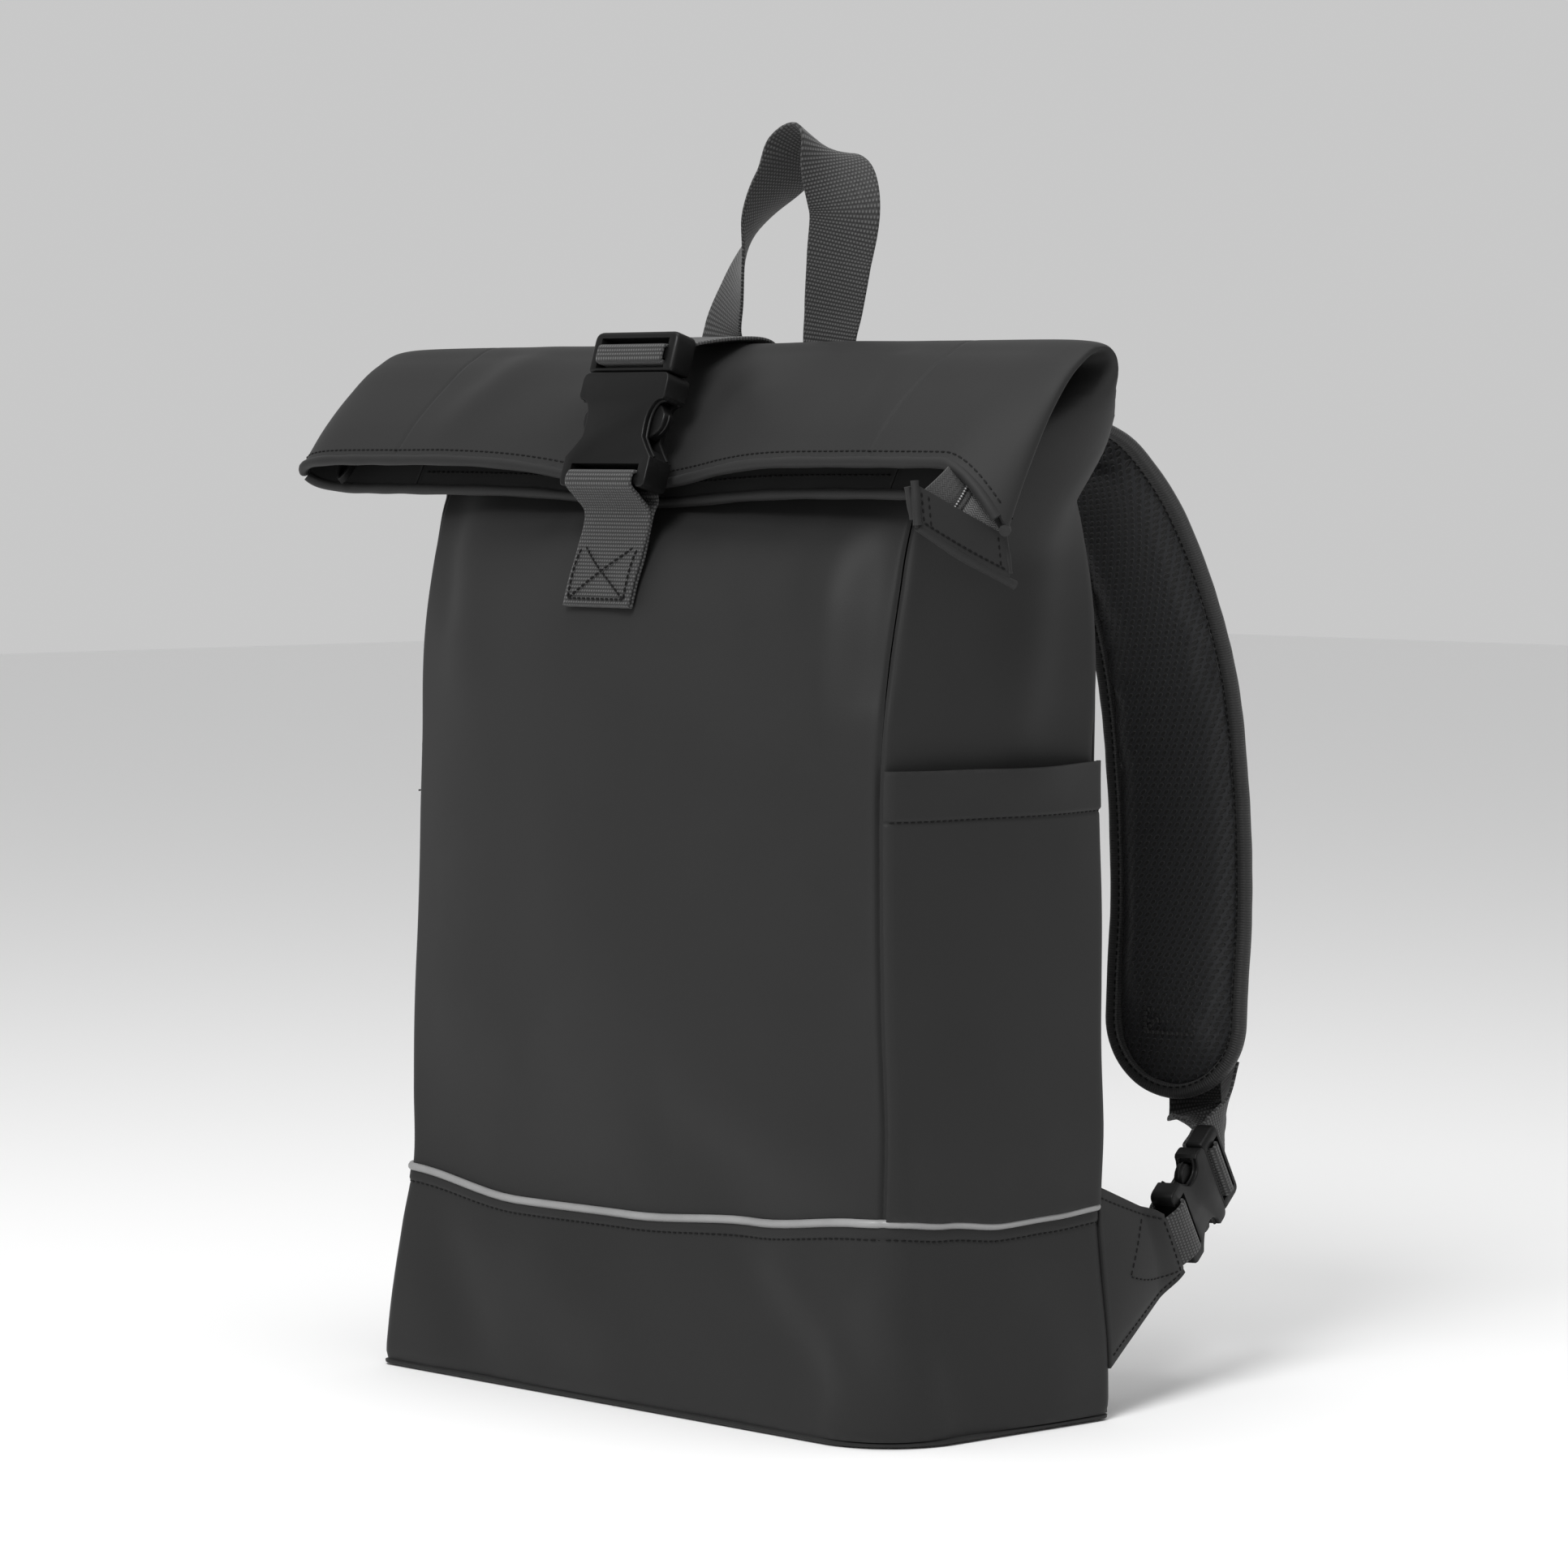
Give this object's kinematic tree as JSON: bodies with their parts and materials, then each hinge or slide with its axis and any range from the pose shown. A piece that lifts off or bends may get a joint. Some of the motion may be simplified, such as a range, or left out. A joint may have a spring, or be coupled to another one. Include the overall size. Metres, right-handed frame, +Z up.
{
  "type": "rolltop backpack",
  "caption": "Closed rolltop backpack of soft coated cloth, with padded shoulder straps, a grab handle, flat side pockets, reflective piping and a buckled closure strap.",
  "frame": {"origin": "middle of the base's flat underside, on the surface that the bag stands on", "axes": "+Z up, +X to the wearer's right (the right of a front view), -Y out of the front"},
  "size_m": [0.428, 0.289, 0.5232],
  "materials": {
    "coated": "matte soft-touch coating",
    "reflective": "light grey reflective piping",
    "webbing": "ribbed woven webbing",
    "binding": "ribbed binding tape",
    "zip": "woven zip tape with a moulded coil",
    "moulded": "satin, finely textured",
    "mesh": "spacer mesh over foam"
  },
  "bodies": {
    "root": {"base_panel": "coated", "boot": "coated", "front_panel": "coated", "back_panel": "coated", "side_panel_right": "coated", "side_panel_left": "coated", "side_pocket_right": "coated", "side_pocket_left": "coated", "rim_front": "coated", "rim_back": "coated", "zip_end_tab": "coated", "wing_right": "coated", "wing_left": "coated", "piping": "reflective", "front_tab": "webbing", "closure_strap": "webbing", "grab_handle": "webbing", "lower_webbing_right": "webbing", "lower_webbing_left": "webbing", "wing_loop_right": "webbing", "wing_loop_left": "webbing", "strap_binding_right": "binding", "strap_binding_left": "binding", "zip_tape_front": "zip", "zip_tape_back": "zip", "zip_coil": "zip", "zip_tail": "zip", "zip_pull": "moulded", "buckle_female": "moulded", "buckle_male": "moulded", "lower_female_right": "moulded", "lower_male_right": "moulded", "lower_female_left": "moulded", "lower_male_left": "moulded", "strap_pad_right": "mesh", "strap_pad_left": "mesh"}
  },
  "joints": []
}
